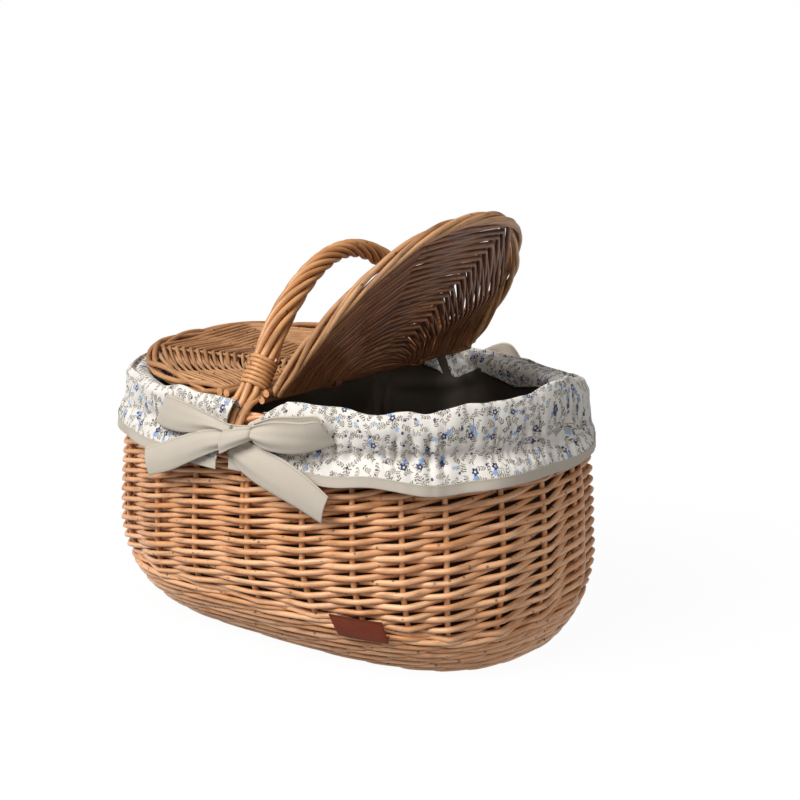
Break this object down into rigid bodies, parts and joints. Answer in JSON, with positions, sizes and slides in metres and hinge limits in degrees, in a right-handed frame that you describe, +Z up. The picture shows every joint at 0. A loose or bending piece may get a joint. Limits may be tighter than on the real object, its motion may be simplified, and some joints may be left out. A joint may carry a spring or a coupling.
{
  "type": "lidded picnic basket",
  "caption": "Oval woven willow picnic basket with a roped fixed handle, hinged half lids and a printed cloth liner tied over the rim with bows.",
  "frame": {"origin": "middle of the footprint, on the ground plane that the foot wale stands on", "axes": "+X along the length towards the lid that stands open, +Y towards the back, +Z up; the front with the bow and the tag faces -Y"},
  "size_m": [0.4714, 0.392, 0.388],
  "materials": {
    "willow": "clear varnish, satin",
    "plain_cloth": "plain woven cotton, matt",
    "printed_cloth": "printed cotton, matt",
    "tag_leather": "smooth leather, satin"
  },
  "bodies": {
    "basket": {"base_weave": "willow", "base_long_stick_1": "willow", "base_long_stick_2": "willow", "base_long_stick_3": "willow", "base_cross_stick_1": "willow", "base_cross_stick_2": "willow", "base_cross_stick_3": "willow", "foot_wale": "willow", "woven_wall": "willow", "stakes_and_border": "willow", "handle_core": "willow", "handle_rod_1": "willow", "handle_rod_2": "willow", "handle_rod_3": "willow", "handle_rod_4": "willow", "handle_rod_5": "willow", "handle_rod_6": "willow", "handle_rod_7": "willow", "handle_binding_front": "willow", "handle_binding_back": "willow", "hinge_bar": "willow", "hinge_loop_left_front": "willow", "hinge_loop_left_back": "willow", "hinge_loop_right_front": "willow", "hinge_loop_right_back": "willow", "liner_bag": "plain_cloth", "skirt_left": "printed_cloth", "skirt_right": "printed_cloth", "hem_left": "plain_cloth", "hem_right": "plain_cloth", "front_bow_tie_band": "plain_cloth", "front_bow_knot": "plain_cloth", "front_bow_loop_left": "plain_cloth", "front_bow_loop_right": "plain_cloth", "front_bow_tail_left": "plain_cloth", "front_bow_tail_right": "plain_cloth", "back_bow_tie_band": "plain_cloth", "back_bow_knot": "plain_cloth", "back_bow_loop_left": "plain_cloth", "back_bow_loop_right": "plain_cloth", "back_bow_tail_left": "plain_cloth", "back_bow_tail_right": "plain_cloth", "leather_tag": "tag_leather"},
    "left_lid": {"left_lid_hinge_stick": "willow", "left_lid_edge_stick": "willow", "left_lid_rib_1": "willow", "left_lid_rib_2": "willow", "left_lid_rib_3": "willow", "left_lid_rib_4": "willow", "left_lid_weave": "willow", "left_lid_border": "willow"},
    "right_lid": {"right_lid_hinge_stick": "willow", "right_lid_edge_stick": "willow", "right_lid_rib_1": "willow", "right_lid_rib_2": "willow", "right_lid_rib_3": "willow", "right_lid_rib_4": "willow", "right_lid_weave": "willow", "right_lid_border": "willow"}
  },
  "joints": [
    {"name": "left_lid_hinge", "type": "hinge", "parent": "basket", "child": "left_lid", "pos_m": [-0.021, 0, 0.2347], "axis": [0, 1, 0], "range_deg": [0, 75]},
    {"name": "right_lid_hinge", "type": "hinge", "parent": "basket", "child": "right_lid", "pos_m": [0.021, 0, 0.2347], "axis": [0, -1, 0], "range_deg": [-52, 23]}
  ]
}
